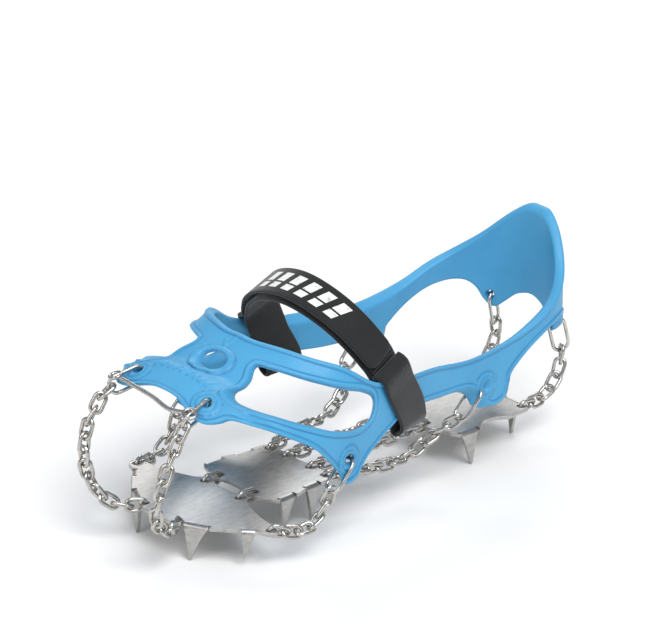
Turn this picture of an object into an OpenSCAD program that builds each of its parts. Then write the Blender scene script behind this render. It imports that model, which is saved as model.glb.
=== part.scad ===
// Light chain crampon in its worn shape: a moulded elastomer harness, eight short chains,
// three pointed steel plates, a toe bail and a hook-and-loop instep strap.
// +X points to the toe, +Y to the wearer's left and +Z up.
// The origin is the middle of the seat that the boot's sole stands on.

/* [Plates] */
// Thickness of the steel plates
plate_t = 2; // [1.6:0.2:2.2]
// Length of the main points below the plates
point_len = 18; // [14:1:20]
// Length of the two small side points
side_point_len = 14; // [10:1:16]

/* [Harness] */
// Thickness of the moulded elastomer
harness_t = 4.6; // [4:0.2:5]
// Radius of the rounded chain lugs
lug_r = 7.5; // [7:0.5:9]

/* [Chain] */
// Wire of the chain links
wire = 2.1; // [1.9:0.1:2.2]
// Inner length of a chain link
link_in = 8.5; // [8.4:0.1:8.6]
// Inner width of a chain link
link_w = 3.8; // [3.6:0.1:4.2]
// Wire of the long lug rings and of the toe bail
ring_wire = 2.4; // [2:0.1:2.4]

/* [Strap] */
// Width of the instep strap
strap_w = 22; // [18:1:23]
// Thickness of one layer of the strap
strap_t = 2; // [1.6:0.2:2]

/* [Hidden] */
steel = "silver";
elastomer = "deepskyblue";
webbing = "dimgray";
left = 1;
right = -1;

// ---- the boot that the harness is worn on: half width, ridge height and section ----
toe_x = 151;
heel_x = -152;
section_power = 2.15;
wall_z = 28;
eye = [-20, 0, 10];

function clamp01(t) = max(0, min(1, t));
function ease(t) = let (c = clamp01(t)) c * c * (3 - 2 * c);
function cap(t, power) = sqrt(max(0.000001, 1 - pow(clamp01(t), power)));
function half_width(x, grow) = (38 + 17 * ease((x + 60) / 130) + grow)
    * cap((x - 75) / (toe_x + grow - 75), 2.2) * cap((-110 - x) / (-110 - heel_x + grow), 2.2);
// How much the top dips under the bridge of the harness.
function dip(x) = 7 * ease((x - 20) / 28) * (1 - ease((x - 80) / 16));
function ridge(x, grow) = (min(150, 87 - 0.6 * (x - 50) + 0.18 * (sqrt(pow(x - 50, 2) + 400) - 20))
        - dip(x) + grow)
    * cap((x - 105) / (toe_x + grow - 105), 2.5);
function outside(p, grow) = p.x > toe_x + grow || p.x < heel_x - grow
    || pow(abs(p.y) / half_width(p.x, grow), section_power)
        + pow(max(0, p.z - wall_z) / max(1, ridge(p.x, grow) - wall_z), section_power) > 1;

// The point where a line from inside the boot through p leaves the boot grown by grow.
function reach(dir, grow, lo, hi, steps) = steps == 0 ? (lo + hi) / 2
    : let (mid = (lo + hi) / 2)
        outside(eye + dir * mid, grow) ? reach(dir, grow, lo, mid, steps - 1)
            : reach(dir, grow, mid, hi, steps - 1);
function unit(v) = v / norm(v);
function on_boot(p, grow) = let (dir = unit(p - eye)) eye + dir * reach(dir, grow, 5, 260, 20);
function to_side(p, side) = [p.x, side * p.y, p.z];

// A smooth line through points, and places along it by length.
function spline_at(a, b, c, d, t) = 0.5 * (2 * b + (c - a) * t + (2 * a - 5 * b + 4 * c - d) * t * t
    + (3 * b - a - 3 * c + d) * t * t * t);
function spline(pts, steps) = let (last = len(pts) - 1)
    [for (i = [0:last - 1]) for (k = [0:steps - 1])
        spline_at(pts[max(0, i - 1)], pts[i], pts[i + 1], pts[min(last, i + 2)], k / steps), pts[last]];
function lengths(line, i = 0, sum = 0) = i == len(line) - 1 ? [sum]
    : concat([sum], lengths(line, i + 1, sum + norm(line[i + 1] - line[i])));
function place(line, marks, s) = [for (axis = [0:2])
    lookup(s, [for (i = [0:len(line) - 1]) [marks[i], line[i][axis]]])];
function even_places(line, count) = let (marks = lengths(line), total = marks[len(marks) - 1])
    [for (i = [0:count]) place(line, marks, total * i / count)];

// A closed sheet between two edge lines, each station a pair of points that are laid on the boot.
module sheet(given, inner, thick, across = 4) {
    along = given[1][0] - given[0][0];
    turned = cross(along, given[0][1] - given[0][0]) * (given[0][0] - eye) < 0;
    stations = turned ? [for (e = given) [e[1], e[0]]] : given;
    rows = len(stations);
    cols = across + 1;
    function at(i, j, grow) = on_boot(stations[i][0] + (stations[i][1] - stations[i][0]) * j / across, grow);
    solid_sheet([for (i = [0:rows - 1]) for (j = [0:across]) at(i, j, inner + thick)],
        [for (i = [0:rows - 1]) for (j = [0:across]) at(i, j, inner)], rows, cols);
}

// A closed solid between two grids of points with the same rows and columns.
module solid_sheet(outer, inner, rows, cols) {
    size = rows * cols;
    function id(i, j) = i * cols + j;
    faces = concat(
        [for (i = [0:rows - 2]) for (j = [0:cols - 2]) each [[id(i, j), id(i, j + 1), id(i + 1, j + 1)],
            [id(i, j), id(i + 1, j + 1), id(i + 1, j)]]],
        [for (i = [0:rows - 2]) for (j = [0:cols - 2]) each [
            [size + id(i, j), size + id(i + 1, j + 1), size + id(i, j + 1)],
            [size + id(i, j), size + id(i + 1, j), size + id(i + 1, j + 1)]]],
        [for (i = [0:rows - 2]) for (j = [0, cols - 1]) each (j == 0
            ? [[id(i, j), id(i + 1, j), size + id(i + 1, j)],
                [id(i, j), size + id(i + 1, j), size + id(i, j)]]
            : [[id(i, j), size + id(i + 1, j), id(i + 1, j)],
                [id(i, j), size + id(i, j), size + id(i + 1, j)]])],
        [for (j = [0:cols - 2]) for (i = [0, rows - 1]) each (i == 0
            ? [[id(i, j), size + id(i, j + 1), id(i, j + 1)],
                [id(i, j), size + id(i, j), size + id(i, j + 1)]]
            : [[id(i, j), id(i, j + 1), size + id(i, j + 1)],
                [id(i, j), size + id(i, j + 1), size + id(i, j)]])]);
    polyhedron(concat(outer, inner), faces);
}

// Places children with +X along the first direction and +Z as near as can be to the second.
module oriented(origin, along, up) {
    x = unit(along);
    y = unit(cross(up, x));
    z = cross(x, y);
    multmatrix([[x.x, y.x, z.x, origin.x], [x.y, y.y, z.y, origin.y], [x.z, y.z, z.z, origin.z],
        [0, 0, 0, 1]])
        children();
}

// ---- harness ----
harness_gap = 3;
mid_wall = harness_gap + harness_t / 2;
lug_hole_r = 2.5;

// Each lug: its hole, the way its ring pulls, its outward direction and the way its tab points.
front_lug = [[97, 24, 64], [0.94, 0.05, -0.34], [0.38, 0.26, 0.89], [0.75, 0.3, -0.4]];
// The chain on the right of the toes stands higher and further out than the left one.
front_lug_right = [front_lug[0], [0.93, 0.28, -0.29], [0.28, 0.23, 0.93], front_lug[3]];
mid_lug = [[32.5, 55, 27.5], [0.68, 0.05, -0.73], [0, 1, 0.06], [0.15, 0, -1]];
rear_lug = [[-70, 42, 31], [0.66, -0.04, -0.75], [0, 1, 0.04], [0.2, 0, -1]];
heel_lug = [[-152, 24, 43], [-0.3, 0.05, -0.95], [-0.88, 0.38, 0.28], [-0.28, 0.05, -0.95]];
function lugs(side) = [side == left ? front_lug : front_lug_right, mid_lug, rear_lug, heel_lug];

function lug_hole(lug, side) = to_side(on_boot(lug[0], mid_wall), side);

// Edge pairs: the bridge over the toes, the band above the window and the band below it.
bridge_edges = [[[103, 0, 64], [56, 0, 83]], [[104, 11, 63], [56, 11, 82]], [[103, 22, 60], [66, 22, 74]],
    [[98, 31, 57], [76, 27, 68]], [[94, 35, 57], [84, 31, 63]]];
upper_edges = [[[66, 16, 76], [56, 6, 83]], [[62, 26, 74], [52, 18, 82]], [[56, 34, 71], [46, 30, 79]],
    [[43, 42, 65], [34, 40, 73]], [[28, 46, 58], [21, 42, 66]], [[14, 45, 51], [10, 44.8, 53.4]],
    [[6, 44, 44], [-6, 43, 51]]];
lower_edges = [[[88, 25, 63], [98, 33, 57]], [[82, 37, 60], [90, 40, 55]], [[72, 45, 56], [78, 48, 50]],
    [[56, 50, 48], [60, 53, 41]], [[42, 51, 42], [44, 55, 30]], [[30, 51, 39], [30, 56, 22]],
    [[18, 49, 38], [15, 52, 24]], [[8, 46, 40], [2, 46, 28]]];
window_rear_edges = [[[12, 45, 52], [14, 47, 34]], [[2, 44, 54], [4, 46, 30]], [[-8, 42, 51], [-6, 43, 30]],
    [[-24, 40, 48], [-24, 41, 33]]];
rear_edges = [[[-20, 40, 48], [-20, 41, 33]], [[-33, 39, 47], [-36, 40, 32]], [[-50, 38, 45], [-54, 38, 29]],
    [[-68, 38, 46], [-72, 38, 27]], [[-86, 39, 49], [-87, 40, 34]], [[-106, 38, 56], [-102, 39, 42]],
    [[-122, 36, 63], [-120, 36, 47]], [[-136, 28, 72], [-134, 30, 47]], [[-146, 17, 84], [-146, 18, 43]],
    [[-152, 6, 93], [-152, 6, 46]], [[-153, 0, 93], [-153, 0, 46]]];

function mirror_edges(edges) = [for (e = edges) [to_side(e[0], right), to_side(e[1], right)]];
function reversed(list) = [for (i = [len(list) - 1:-1:0]) list[i]];
// Joins the mirrored list and the list itself at the pair on the middle plane, given first.
function both_sides(edges) = concat(mirror_edges(reversed(edges)), [for (i = [1:len(edges) - 1]) edges[i]]);

// The slot-like tab of one lug, square to the outward direction.
module lug_tab(lug, side) {
    hole = lug_hole(lug, side);
    tab = to_side(lug[3], side);
    oriented(hole, tab, to_side(lug[2], side))
        translate([0, 0, -harness_t / 2]) {
            cylinder(h = harness_t, r = lug_r, $fn = 48);
            translate([-lug_r * 1.6, -lug_r, 0]) cube([lug_r * 1.6, lug_r * 2, harness_t]);
        }
}

module lug_bore(lug, side)
    oriented(lug_hole(lug, side), to_side(lug[3], side), to_side(lug[2], side))
        cylinder(h = harness_t * 4, r = lug_hole_r, center = true, $fn = 48);

module harness_side(side) {
    for (edges = [upper_edges, lower_edges, window_rear_edges])
        sheet(side == left ? edges : mirror_edges(edges), harness_gap, harness_t, 3);
}

module harness() color(elastomer) difference() {
    union() {
        sheet(both_sides(bridge_edges), harness_gap, harness_t, 4);
        sheet(both_sides(reversed(rear_edges)), harness_gap, harness_t, 3);
        for (side = [left, right]) {
            harness_side(side);
            for (lug = lugs(side)) lug_tab(lug, side);
        }
    }
    for (side = [left, right]) for (lug = lugs(side)) lug_bore(lug, side);
    // finger window in the middle of the bridge
    translate([78, 0, 70]) rotate([0, 18, 0]) cylinder(h = 60, r = 6.5, center = true, $fn = 48);
}

// ---- a wire bent into a closed oval, lying in its own XY plane with its long axis on X ----
module oval(inner_length, inner_width, gauge) {
    bend = (inner_width + gauge) / 2;
    straight = inner_length - inner_width;
    for (s = [-1, 1]) {
        translate([0, s * bend, 0]) rotate([0, 90, 0])
            cylinder(h = straight, r = gauge / 2, center = true, $fn = 20);
        translate([s * straight / 2, 0, 0]) rotate([0, 0, s > 0 ? -90 : 90])
            rotate_extrude(angle = 180, $fn = 40) translate([bend, 0]) circle(r = gauge / 2, $fn = 20);
    }
}

// ---- long rings through the lugs, and chains of plain links that hang from them ----
ring_in = 17.6;
ring_w = 7;
// How far the wire of a link or ring reaches past the point where two of them meet.
hook_over = 1.35;
function ring_start(lug, side) = lug_hole(lug, side) - to_side(unit(lug[1]), side) * 0.4;
function ring_end(lug, side) = ring_start(lug, side)
    + to_side(unit(lug[1]), side) * (ring_in + ring_wire - hook_over);

module lug_ring(lug, side) {
    pull = to_side(unit(lug[1]), side);
    oriented(ring_start(lug, side) + pull * (ring_in + ring_wire) / 2, pull,
        cross(pull, to_side(lug[2], side)))
        oval(ring_in, ring_w, ring_wire);
}

// Links on the given meeting points; each link is turned a quarter from the one before it.
module links(nodes, first_up, last_up, turn) {
    count = len(nodes) - 1;
    for (i = [0:count - 1]) {
        along = nodes[i + 1] - nodes[i];
        up = first_up + (last_up - first_up) * i / max(1, count - 1);
        oriented((nodes[i] + nodes[i + 1]) / 2, along, (i + turn) % 2 == 0 ? cross(along, up) : up)
            oval(link_in, link_w, wire);
    }
}

// Each route: the points the chain passes after its ring.
front_route = [[119.9, 25.3, 54.2], [125.2, 25.6, 44], [129.8, 26, 35], [132.8, 26, 26], [134.4, 25.5, 17.5],
    [132.6, 24.2, 9], [126.5, 22, 3.6], [120, 19.4, 0.4], [114.4, 16.4, -0.8], [108.6, 13.2, -1]];
front_route_right = [[120.8, 30.6, 58], [125.2, 31, 51], [129.8, 31.6, 44], [132.2, 31.8, 34],
    [132.6, 31, 24], [131, 29.5, 15], [127.5, 26.5, 6.5], [121, 21.5, 0.4], [114.8, 16.8, -1],
    [108.6, 13.2, -1]];
mid_route = [[49.6, 57, 7.6], [55, 57.2, 0.6], [62, 56.4, -3.4], [70.5, 54.2, -2.8], [79.3, 50.7, -0.6]];
rear_route = [[-52, 35.5, 10], [-43, 32.3, 3.8], [-34, 31.5, -0.6], [-20, 30.6, -1.4], [0, 26, -1.3],
    [14.6, 21.2, -1]];
heel_route = [[-156, 24.2, 18], [-153.8, 24.2, 10], [-148.6, 24.3, 3.4], [-141.6, 24.6, -0.4],
    [-134, 25.1, -1.1], [-125.7, 25.6, -1]];
arch_front_x = 14;
arch_y = 9;
arch_links = 11;
arch_pitch = 7.6;

function route_nodes(lug, route, count, side) =
    even_places(spline([for (p = concat([ring_end(lug, left)], route)) to_side(p, side)], 8), count);

// The last link stands upright in its eyelet whether the number of links is odd or even.
module lug_chain(lug, route, count, side) {
    nodes = route_nodes(lug, route, count, side);
    level = unit(cross([0, 0, 1], nodes[count] - nodes[count - 1]));
    links(nodes, to_side(unit(lug[2]), side), count % 2 == 0 ? [0, 0, 1] : level * side, 1);
}

module arch_chain(side)
    links([for (i = [0:arch_links]) [arch_front_x - arch_pitch * i, side * arch_y, -1]],
        [0, 0, 1], [0, 0, 1], 0);

// ---- plates ----
eyelet_r = 1.9;
eyelet_rim = 4.4;
toe_front_eyelet = [107.5, 12.4];
toe_side_eyelet = [80.2, 50.3];
side_slot_reach = 0.8;
toe_link_eyelet = [68, 13];
ball_link_eyelet = [56, 13];
ball_arch_eyelet = [arch_front_x + hook_over, arch_y];
ball_rear_eyelet = [15.8, 20.8];
heel_arch_eyelet = [arch_front_x - arch_pitch * arch_links - hook_over, arch_y];
heel_rear_eyelet = [-124.5, 25.6];

module mirrored_pair() {
    children();
    mirror([0, 1, 0]) children();
}

// A flat plate with its top at z = 0: half an outline on the left, mirrored, plus rimmed eyelets.
// Eyelets may be given a longer shape: how far each end of the slot reaches along X.
module plate(outline, eyelets, slots = []) translate([0, 0, -plate_t]) linear_extrude(height = plate_t)
    difference() {
        union() {
            polygon(concat(outline, [for (i = [len(outline) - 1:-1:0]) [outline[i].x, -outline[i].y]]));
            for (e = eyelets) mirrored_pair() translate(e) circle(r = eyelet_rim, $fn = 40);
            for (e = slots) mirrored_pair() translate([e.x, e.y]) slot(e.z, eyelet_rim - 0.5);
        }
        for (e = eyelets) mirrored_pair() translate(e) circle(r = eyelet_r, $fn = 40);
        for (e = slots) mirrored_pair() translate([e.x, e.y]) slot(e.z, eyelet_r);
    }

module slot(reach, r) {
    for (s = [-1, 1]) translate([s * reach, 0]) circle(r = r, $fn = 40);
    square([2 * reach, 2 * r], center = true);
}

// A point bent down from the plate's edge between two places on it, with hollow sides.
module spike(from, to, tip, length) {
    wide = norm(to - from);
    across = unit(to - from);
    lean = (tip - from) * across;
    foot = [from.x, from.y, 0];
    drop = length + plate_t;
    sides = 7;
    function hollow(t) = pow(t, 0.72);
    oriented(foot, [across.x, across.y, 0], cross([across.x, across.y, 0], [0, 0, 1]))
        translate([0, 0, -plate_t]) linear_extrude(height = plate_t) polygon(concat(
            [[-1.6, 0], [wide + 1.6, 0], [wide + 1.6, -plate_t]],
            [for (i = [1:sides - 1]) let (t = i / sides)
                [wide + (lean + 0.5 - wide) * hollow(t), -plate_t - (drop - plate_t) * t]],
            [[lean + 0.5, -drop], [lean - 0.5, -drop]],
            [for (i = [sides - 1:-1:1]) let (t = i / sides)
                [(lean - 0.5) * hollow(t), -plate_t - (drop - plate_t) * t]],
            [[-1.6, -plate_t]]));
}

module toe_plate() color(steel) {
    plate([[66, 0], [65.5, 9], [68, 19], [73, 32], [76, 44], [79, 52], [86, 47.4], [92, 41.6], [97, 35],
        [102.3, 29.4], [108.6, 16.6], [111.6, 13], [112.6, 6], [113, 0]], [toe_front_eyelet, toe_link_eyelet],
        [[toe_side_eyelet.x, toe_side_eyelet.y, side_slot_reach]]);
    mirrored_pair() {
        spike([108.6, 16.6], [102.8, 28.4], [106.8, 20.3], point_len);
        spike([92, 41.4], [87, 46.4], [90.6, 42.8], side_point_len);
    }
}

module ball_plate() color(steel) {
    plate([[13, 0], [14, 14], [18, 24], [24, 26.5], [34, 27], [42, 28.5], [54, 28.5], [58, 22], [59, 12],
        [58, 0]],
        [ball_link_eyelet, ball_arch_eyelet, ball_rear_eyelet]);
    mirrored_pair() {
        spike([52.5, 28.5], [43, 28.5], [49.5, 28.5], point_len);
        spike([33, 26.8], [24, 26.4], [28, 26.6], point_len);
    }
}

module heel_plate() color(steel) {
    plate([[-126.5, 0], [-129, 10], [-129, 21.6], [-124, 24], [-118, 28.4], [-112, 31], [-104, 27],
        [-96, 25.5], [-88, 31], [-74, 31], [-68, 16], [-69, 0]], [heel_arch_eyelet, heel_rear_eyelet]);
    mirrored_pair() {
        spike([-75, 31], [-87, 31], [-83.5, 31], point_len);
        spike([-129, 21], [-129, 12.5], [-129, 17], point_len);
    }
}

module plate_link(side)
    oriented([(toe_link_eyelet.x + ball_link_eyelet.x) / 2, side * toe_link_eyelet.y, -1],
        [1, 0, 0], [0, 1, 0])
        oval(toe_link_eyelet.x - ball_link_eyelet.x - wire, 4.4, wire);

// ---- toe bail: a round wire over the toe cap with an eye on each front ring ----
eye_r = 2.1;
bail_eye_wire = 2;
bail_reach = ring_in + ring_wire - 5.2;
function ring_normal(lug) = let (d = unit(lug[1])) unit(lug[2] - d * (lug[2] * d));
function bail_eye(lug, side) = ring_start(lug, side)
    + to_side(unit(lug[1]) * bail_reach + ring_normal(lug) * 4.7, side);

module tube(line, r, sides = 12) {
    count = len(line);
    ahead = [for (i = [0:count - 1]) unit(line[min(count - 1, i + 1)] - line[max(0, i - 1)])];
    rings = [for (i = [0:count - 1]) let (a = unit(cross(ahead[i], [1, 0, 0])), b = cross(ahead[i], a))
        for (k = [0:sides - 1]) line[i] + (a * cos(360 * k / sides) + b * sin(360 * k / sides)) * r];
    polyhedron(rings, concat([[for (k = [0:sides - 1]) k]],
        [for (i = [0:count - 2]) for (k = [0:sides - 1]) let (n = (k + 1) % sides)
            each [[i * sides + k, (i + 1) * sides + k, (i + 1) * sides + n],
                [i * sides + k, (i + 1) * sides + n, i * sides + n]]],
        [[for (k = [sides - 1:-1:0]) (count - 1) * sides + k]]));
}

module toe_bail() color(steel) {
    stem = eye_r + bail_eye_wire / 2;
    near = bail_eye(front_lug, left);
    away = bail_eye(front_lug_right, right);
    for (e = [[near, front_lug, left], [away, front_lug_right, right]])
        oriented(e[0], to_side(ring_normal(e[1]), e[2]), to_side(unit(e[1][1]), e[2]))
            rotate_extrude($fn = 40) translate([stem, 0]) circle(r = bail_eye_wire / 2, $fn = 20);
    tube(spline([near + [-0.1, -0.99, -0.1] * stem, near + [-0.9, -6.5, -1.6], [113.4, 9, 61],
        [112.2, -4, 62.6], [112, -16, 63.4], away + [-1, 6.5, -1], away + [-0.1, 0.99, -0.1] * stem], 6),
        ring_wire / 2);
}

// ---- strap: a ribbon given by its middle line and the direction across it ----
// The line of the flap over the instep, from the near side to the middle: point, then direction across.
over_instep = [[[-0.5, 48.7, 63], 0.91, -0.38], [[2.5, 47.6, 67.5], 0.88, -0.44],
    [[6, 44.6, 74], 0.87, -0.47], [[11, 38, 83], 0.87, -0.48], [[15, 27.5, 91], 0.87, -0.48],
    [[18, 14, 96.6], 0.87, -0.48],
    [[19, 0, 98.6], 0.87, -0.48]];
inside_off = 1.5;
outside_off = harness_gap + harness_t + 0.7 + strap_t / 2;
patch_t = 0.9;
layer_gap = 0.45;
// Each of these stations: a point beside the boot, the distance off the boot, and the direction across.
near_inside = [[[-2.5, 50, 59], inside_off, 0.94, -0.34], [[-6, 51, 52], inside_off, 0.96, -0.28],
    [[-11, 51, 44], inside_off, 0.98, -0.18], [[-14.5, 51, 37.5], inside_off, 0.99, -0.12]];
near_turn = [[[-16, 50, 31.5], inside_off + 0.3, 0.99, -0.1], [[-16.4, 50, 29.2], 3, 0.99, -0.1],
    [[-16.6, 50, 28.3], 5.3, 0.99, -0.1], [[-16.4, 50, 29.2], 7.6, 0.99, -0.1],
    [[-16, 50, 31.5], outside_off - 0.2, 0.99, -0.1]];
near_outside = [[[-14.5, 51, 37.5], outside_off, 0.99, -0.12], [[-11, 51, 44], outside_off, 0.98, -0.18],
    [[-6, 51, 52], outside_off, 0.96, -0.28], [[-1.2, 50, 61.4], outside_off + 0.6, 0.94, -0.32]];

function on_line(list) = [for (p = list) [on_boot(p[0], p[1]), p[2], p[3]]];
function far(list) = [for (p = list) [to_side(p[0], right), p[1], p[2]]];
// The direction across the strap also follows the boot, which widens towards the toes.
function across_at(p) = [p[1], 0.188 * p[1] * p[0].y / 48, p[2]];
// Moves a line of stations off the boot, square to itself.
function lifted(list, off) = let (last = len(list) - 1)
    [for (i = [0:last]) let (ahead = list[min(last, i + 1)][0] - list[max(0, i - 1)][0],
        n = unit(cross([list[i][1], 0, list[i][2]], ahead)))
        [list[i][0] + n * (n.z < 0 ? -off : off), list[i][1], list[i][2]]];
function ribbon_grid(stations, steps) = let (
        line = spline([for (p = stations) p[0]], steps),
        tilt = spline([for (p = stations) across_at(p)], steps), count = len(line))
    [for (i = [0:count - 1]) let (ahead = unit(line[min(count - 1, i + 1)] - line[max(0, i - 1)]),
        w0 = unit(tilt[i]), w = unit(w0 - ahead * (w0 * ahead)), n = cross(w, ahead)) [line[i], w, n]];

// A ribbon of even thickness; its far end can be drawn in to round the corners.
module ribbon(stations, steps, wide, thick, rounded = 0) {
    grid = ribbon_grid(stations, steps);
    count = len(grid);
    marks = lengths([for (g = grid) g[0]]);
    total = marks[count - 1];
    function half(i) = let (left_over = total - marks[i])
        rounded == 0 || left_over > rounded ? wide / 2
            : wide / 2 - rounded + sqrt(max(0.04, pow(rounded, 2) - pow(rounded - left_over, 2)));
    cols = 3;
    function at(i, j, off) = grid[i][0] + grid[i][1] * half(i) * (1 - j) + grid[i][2] * off;
    solid_sheet([for (i = [0:count - 1]) for (j = [0:cols - 1]) at(i, j, thick / 2)],
        [for (i = [0:count - 1]) for (j = [0:cols - 1]) at(i, j, -thick / 2)], count, cols);
}

function mirrored_line(list) = concat(list, far([for (i = [len(list) - 2:-1:0]) list[i]]));
function without_first(list, n) = [for (i = [n:len(list) - 1]) list[i]];
under_line = without_first(lifted(over_instep, -(strap_t + patch_t + 2 * layer_gap)), 1);

// Where the end of the strap, turned up round the right band, becomes the free flap.
hinge_low = on_line([[[-15.7, 50.3, 33.4], outside_off, 0.99, -0.12]]);
hinge_high = on_line([[[-14.5, 51, 37.5], outside_off, 0.99, -0.12]]);

module strap() color(webbing) {
    seam = lifted([[[1.4, 48.2, 66.4], 0.9, -0.4], over_instep[1]], -1.2)[0];
    inside = on_line(near_inside);
    turn = on_line(near_turn);
    ribbon(concat([seam], reversed(on_line(near_outside)), reversed(turn), reversed(inside),
        mirrored_line(under_line), far(inside), far(turn), far(hinge_low)), 4, strap_w, strap_t);
}

module strap_flap() color(webbing) {
    near = concat([[[3.6, 46.7, 69.8], 0.88, -0.45]], without_first(over_instep, 2));
    ribbon(concat(far(hinge_high), far(without_first(on_line(near_outside), 1)),
        far(without_first(over_instep, 1)), reversed([for (i = [0:len(near) - 2]) near[i]])),
        4, strap_w - 3, strap_t, 5);
}

module hook_patch() color("darkslategray")
    ribbon(lifted([for (i = [1:5]) over_instep[i]], -(strap_t / 2 + patch_t / 2 + layer_gap)), 5,
        strap_w - 4, patch_t);

harness();
strap();
strap_flap();
hook_patch();
toe_bail();
toe_plate();
ball_plate();
heel_plate();
color(steel) plate_link(left);  // left_plate_link
color(steel) plate_link(right);  // right_plate_link
color(steel) lug_ring(front_lug, left);  // front_left_ring
color(steel) lug_ring(front_lug_right, right);  // front_right_ring
color(steel) lug_ring(mid_lug, left);  // mid_left_ring
color(steel) lug_ring(mid_lug, right);  // mid_right_ring
color(steel) lug_ring(rear_lug, left);  // rear_left_ring
color(steel) lug_ring(rear_lug, right);  // rear_right_ring
color(steel) lug_ring(heel_lug, left);  // heel_left_ring
color(steel) lug_ring(heel_lug, right);  // heel_right_ring
color(steel) lug_chain(front_lug, front_route, 11, left);  // front_left_chain
color(steel)  // front_right_chain
    lug_chain(front_lug_right, front_route_right, 12, right);
color(steel) lug_chain(mid_lug, mid_route, 6, left);  // mid_left_chain
color(steel) lug_chain(mid_lug, mid_route, 6, right);  // mid_right_chain
color(steel) lug_chain(rear_lug, rear_route, 11, left);  // rear_left_chain
color(steel) lug_chain(rear_lug, rear_route, 11, right);  // rear_right_chain
color(steel) lug_chain(heel_lug, heel_route, 6, left);  // heel_left_chain
color(steel) lug_chain(heel_lug, heel_route, 6, right);  // heel_right_chain
color(steel) arch_chain(left);  // arch_left_chain
color(steel) arch_chain(right);  // arch_right_chain
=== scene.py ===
"""Looks for the chain crampon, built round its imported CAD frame.

Lengths in the shape code are in millimetres and are turned into metres when a mesh is made.
+X points to the toe, +Y to the wearer's left and +Z up, as in the CAD.
"""

import math

import bmesh
import bpy
import numpy as np
from mathutils import Matrix, Vector
from mathutils.geometry import delaunay_2d_cdt
from mathutils.kdtree import KDTree


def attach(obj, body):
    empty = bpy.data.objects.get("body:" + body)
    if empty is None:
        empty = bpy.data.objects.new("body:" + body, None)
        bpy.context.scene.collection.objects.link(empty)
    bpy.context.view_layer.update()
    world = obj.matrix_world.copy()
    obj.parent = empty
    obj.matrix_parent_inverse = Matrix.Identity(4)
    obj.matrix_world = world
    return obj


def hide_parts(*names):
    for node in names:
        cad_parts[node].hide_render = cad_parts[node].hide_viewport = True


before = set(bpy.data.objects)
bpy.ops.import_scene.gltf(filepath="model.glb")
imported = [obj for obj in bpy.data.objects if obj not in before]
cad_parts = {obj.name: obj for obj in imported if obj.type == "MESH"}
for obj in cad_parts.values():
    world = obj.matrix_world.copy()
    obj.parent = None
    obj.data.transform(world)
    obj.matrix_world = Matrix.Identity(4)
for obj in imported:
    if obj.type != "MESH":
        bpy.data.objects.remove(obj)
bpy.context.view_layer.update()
MM = 0.001


# ---------------------------------------------------------------- vectors
def vec(*v):
    return np.array(v, float)


def unit(v):
    v = np.asarray(v, float)
    return v / np.linalg.norm(v, axis=-1, keepdims=True)


def mirror(p, side):
    return np.asarray(p, float) * vec(1, side, 1)


def smoothstep(t):
    t = np.clip(t, 0, 1)
    return t * t * (3 - 2 * t)


def spline(points, steps, closed=False):
    """A Catmull-Rom line through points of any dimension."""
    pts = [np.asarray(p, float) for p in points]
    n = len(pts)
    pick = (lambda i: pts[i % n]) if closed else (lambda i: pts[min(max(i, 0), n - 1)])
    out = []
    for i in range(n if closed else n - 1):
        a, b, c, d = pick(i - 1), pick(i), pick(i + 1), pick(i + 2)
        for k in range(steps):
            t = k / steps
            out.append(0.5 * (2 * b + (c - a) * t + (2 * a - 5 * b + 4 * c - d) * t * t
                              + (3 * b - a - 3 * c + d) * t ** 3))
    if not closed:
        out.append(pts[-1])
    return np.array(out)


def run_lengths(line):
    return np.concatenate([[0], np.cumsum(np.linalg.norm(np.diff(line, axis=0), axis=1))])


def even_places(line, count):
    s = run_lengths(line)
    at = np.linspace(0, s[-1], count + 1)
    return np.stack([np.interp(at, s, line[:, i]) for i in range(line.shape[1])], -1)


def even_loop(points, spacing):
    """A closed line cut into equal steps of about the given length."""
    line = spline(points, 12, closed=True)
    line = np.vstack([line, line[:1]])
    count = max(8, int(run_lengths(line)[-1] / spacing))
    return even_places(line, count)[:-1]


# ---------------------------------------------------------------- the boot that the harness is worn on
EYE = vec(-20, 0, 10)
TOE_X, HEEL_X, POWER, WALL_Z = 151, -152, 2.15, 28


def cap(t, power):
    return np.sqrt(np.maximum(1e-6, 1 - np.clip(t, 0, 1) ** power))


def outside(p, grow):
    x, y, z = p[:, 0], p[:, 1], p[:, 2]
    half = (38 + 17 * smoothstep((x + 60) / 130) + grow) * cap((x - 75) / (TOE_X + grow - 75), 2.2) \
        * cap((-110 - x) / (-110 - HEEL_X + grow), 2.2)
    dip = 7 * smoothstep((x - 20) / 28) * (1 - smoothstep((x - 80) / 16))
    ridge = (np.minimum(150, 87 - 0.6 * (x - 50) + 0.18 * (np.sqrt((x - 50) ** 2 + 400) - 20)) - dip + grow) \
        * cap((x - 105) / (TOE_X + grow - 105), 2.5)
    out = ((np.abs(y) / half) ** POWER
           + (np.maximum(0, z - WALL_Z) / np.maximum(1, ridge - WALL_Z)) ** POWER > 1)
    return out | (x > TOE_X + grow) | (x < HEEL_X - grow)


def on_boot(p, grow):
    """The points where lines from inside the boot through p leave the boot grown by grow."""
    p = np.atleast_2d(np.asarray(p, float))
    d = unit(p - EYE)
    grow = np.broadcast_to(np.asarray(grow, float), len(p))
    lo, hi = np.full(len(p), 5.0), np.full(len(p), 260.0)
    for _ in range(24):
        mid = (lo + hi) / 2
        out = outside(EYE + d * mid[:, None], grow)
        hi, lo = np.where(out, mid, hi), np.where(out, lo, mid)
    return EYE + d * ((lo + hi) / 2)[:, None]


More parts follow.
